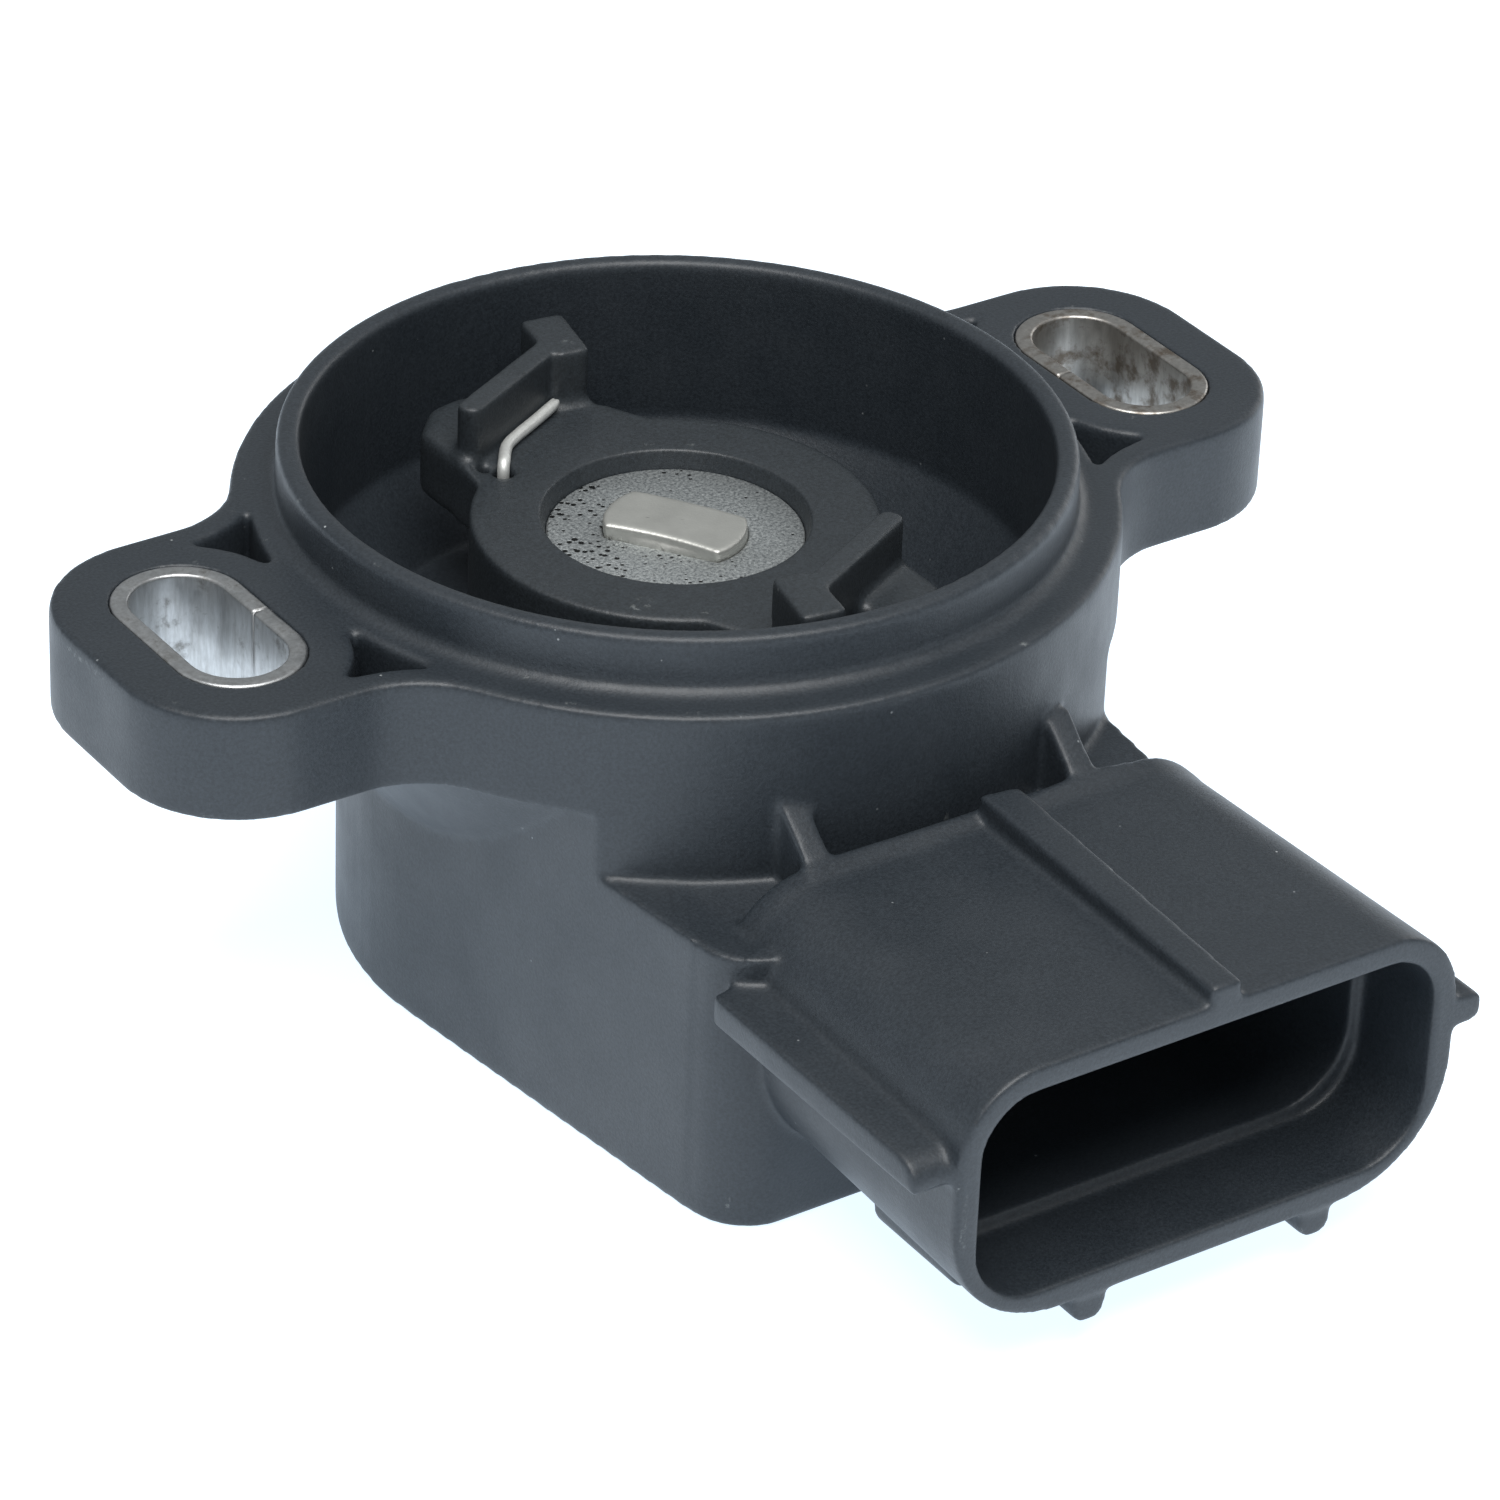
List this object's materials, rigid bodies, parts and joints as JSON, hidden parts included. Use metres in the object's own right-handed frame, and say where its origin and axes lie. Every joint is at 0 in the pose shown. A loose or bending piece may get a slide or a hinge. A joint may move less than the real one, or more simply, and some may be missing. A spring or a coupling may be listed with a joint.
{
  "type": "throttle position sensor",
  "caption": "Rotary throttle position sensor with a sprung drive rotor in an open round collar, slotted mounting ears and a side connector.",
  "frame": {"origin": "on the rotor's axis, in the plane of the mounting face that the locating collar stands on", "axes": "+Z along the rotor's axis, out of the open cup; the two mounting ears lie along +X and -X; the connector points along -Y"},
  "size_m": [0.0632, 0.0622, 0.0262],
  "materials": {
    "black_nylon": "moulded glass-filled nylon, satin",
    "rotor_nylon": "moulded glass-filled nylon, satin",
    "cover_nylon": "moulded nylon, satin",
    "insert_steel": "rolled zinc-plated steel strip, scuffed",
    "sintered_steel": "sintered, granular with small pits",
    "shaft_steel": "sheared and ground steel, warm grey",
    "spring_steel": "bright drawn spring wire",
    "washer_steel": "bright steel",
    "bronze": "oil-filled sintered bronze",
    "carrier_plastic": "moulded natural plastic",
    "contact_alloy": "stamped spring alloy",
    "board_ceramic": "fired ceramic board",
    "track_ink": "printed resistive ink",
    "tinned_brass": "tin-plated brass blade",
    "seal_rubber": "silicone rubber"
  },
  "bodies": {
    "housing_body": {"housing": "black_nylon", "insert_left": "insert_steel", "insert_right": "insert_steel", "bearing_bush": "bronze", "resistor_board": "board_ceramic", "resistor_tracks": "track_ink", "terminal_1": "tinned_brass", "terminal_2": "tinned_brass", "terminal_3": "tinned_brass", "terminal_4": "tinned_brass", "terminal_clip_1": "contact_alloy", "terminal_clip_2": "contact_alloy", "terminal_clip_3": "contact_alloy", "terminal_clip_4": "contact_alloy", "rear_cover": "cover_nylon", "cover_seal": "seal_rubber"},
    "rotor_body": {"rotor": "rotor_nylon", "rotor_disc": "sintered_steel", "shaft": "shaft_steel", "return_spring": "spring_steel", "thrust_washer": "washer_steel", "brush_carrier": "carrier_plastic", "brush_contact": "contact_alloy", "retaining_clip": "spring_steel"}
  },
  "joints": [
    {"name": "rotor_turn", "type": "hinge", "parent": "housing_body", "child": "rotor_body", "pos_m": [0, 0, 0], "axis": [0, 0, 1], "range_deg": [0, 100], "stiffness_Nm_per_rad": 0.01, "deforming": ["return_spring"]}
  ]
}
